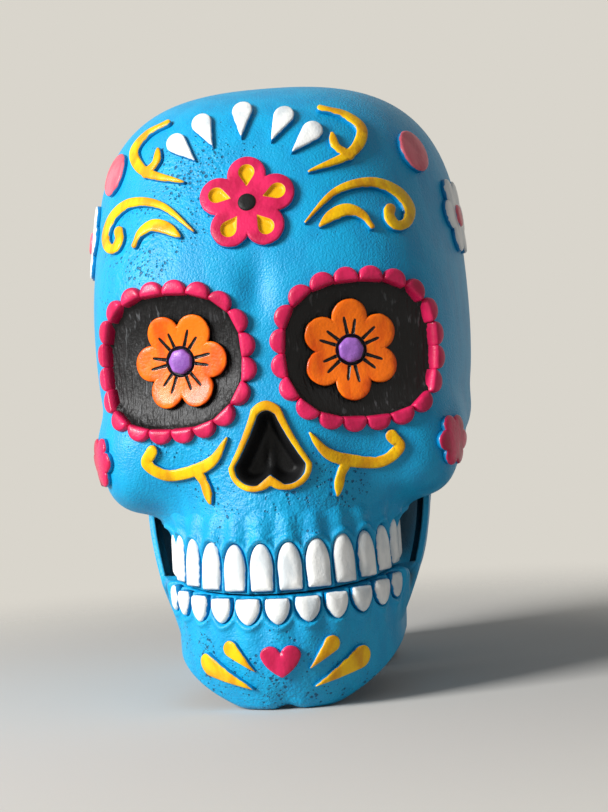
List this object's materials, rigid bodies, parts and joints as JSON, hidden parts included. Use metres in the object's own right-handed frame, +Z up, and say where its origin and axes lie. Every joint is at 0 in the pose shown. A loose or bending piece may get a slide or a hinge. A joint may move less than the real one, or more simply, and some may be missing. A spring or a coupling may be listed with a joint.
{
  "type": "sugar skull ornament",
  "caption": "Free-standing painted sugar skull ornament with a hollow cast cranium, flat felted base, pinned swinging lower jaw, tooth rows and raised floral decoration.",
  "frame": {"origin": "centre of the bounding box on the plane the skull stands on", "axes": "+Z is up, the face looks along -Y, +X is to the viewer's right"},
  "size_m": [0.1358, 0.1777, 0.211],
  "materials": {
    "resin_blue": "satin hand-painted casting",
    "paint_pink": "satin paint",
    "paint_yellow": "satin paint",
    "paint_white": "satin paint",
    "paint_orange": "satin paint",
    "paint_purple": "satin paint",
    "paint_coral": "satin paint",
    "black_gloss": "gloss paint",
    "pin_steel": "bare steel pin",
    "felt": "dark felt pad"
  },
  "bodies": {
    "skull": {"cranium_shell": "resin_blue", "base_felt": "felt", "eye_lining_left": "black_gloss", "eye_rim_left": "paint_pink", "cheek_rosette_left": "paint_pink", "eye_flower_left": "paint_orange", "eye_bead_left": "paint_purple", "upper_scroll_left": "paint_yellow", "brow_scroll_left": "paint_yellow", "brow_crescent_left": "paint_yellow", "cheek_scroll_left": "paint_yellow", "temple_disc_left": "paint_coral", "temple_flower_centre_left": "paint_coral", "temple_flower_left": "paint_white", "jaw_pin_left": "pin_steel", "eye_lining_right": "black_gloss", "eye_rim_right": "paint_pink", "cheek_rosette_right": "paint_pink", "eye_flower_right": "paint_orange", "eye_bead_right": "paint_purple", "upper_scroll_right": "paint_yellow", "brow_scroll_right": "paint_yellow", "brow_crescent_right": "paint_yellow", "cheek_scroll_right": "paint_yellow", "temple_disc_right": "paint_coral", "temple_flower_centre_right": "paint_coral", "temple_flower_right": "paint_white", "jaw_pin_right": "pin_steel", "nose_lining": "black_gloss", "forehead_flower_boss": "black_gloss", "nose_rim": "paint_yellow", "forehead_flower": "paint_pink", "upper_tooth_row": "paint_white", "crown_drop_1": "paint_white", "crown_drop_2": "paint_white", "crown_drop_3": "paint_white", "crown_drop_4": "paint_white", "crown_drop_5": "paint_white"},
    "jaw": {"lower_jaw": "resin_blue", "lower_tooth_row": "paint_white", "chin_heart": "paint_pink", "chin_drop_inner_left": "paint_yellow", "chin_drop_inner_right": "paint_yellow", "chin_drop_outer_left": "paint_yellow", "chin_drop_outer_right": "paint_yellow"}
  },
  "joints": [
    {"name": "jaw_hinge", "type": "hinge", "parent": "skull", "child": "jaw", "pos_m": [0, -0.019, 0.085], "axis": [1, 0, 0], "range_deg": [0, 15]}
  ]
}
